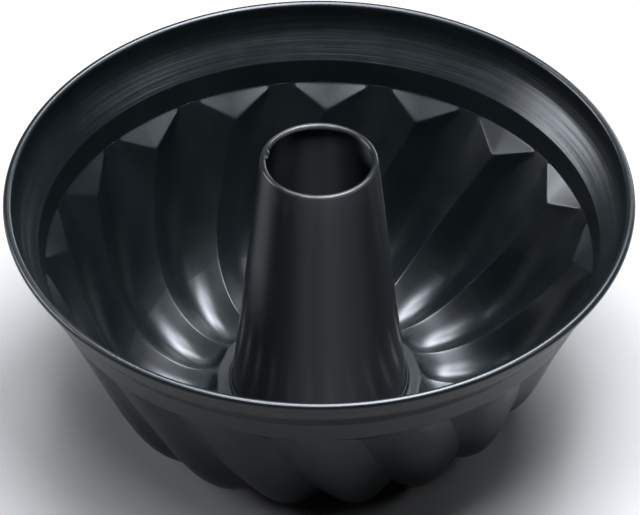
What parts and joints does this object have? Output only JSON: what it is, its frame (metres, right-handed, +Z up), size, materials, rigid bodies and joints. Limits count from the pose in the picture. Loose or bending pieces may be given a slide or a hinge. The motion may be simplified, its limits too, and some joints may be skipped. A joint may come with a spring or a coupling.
{
  "type": "bundt pan",
  "caption": "Round swirled ring-cake pan with folded flutes, a stepped flared collar, a rolled rim and a tall open conical centre tube.",
  "frame": {"origin": "centre of the base plane that the flute bottoms stand on, on the pan's axis", "axes": "+Z up along the centre tube; -Y towards the viewer of the reference view, +X to its right"},
  "size_m": [0.22, 0.22, 0.1086],
  "materials": {
    "bowl_coating": "satin black non-stick coating",
    "tube_coating": "satin black non-stick coating",
    "wire_steel": "plain drawn wire"
  },
  "bodies": {
    "root": {"bowl_shell": "bowl_coating", "centre_tube": "tube_coating", "rim_wire": "wire_steel"}
  },
  "joints": []
}
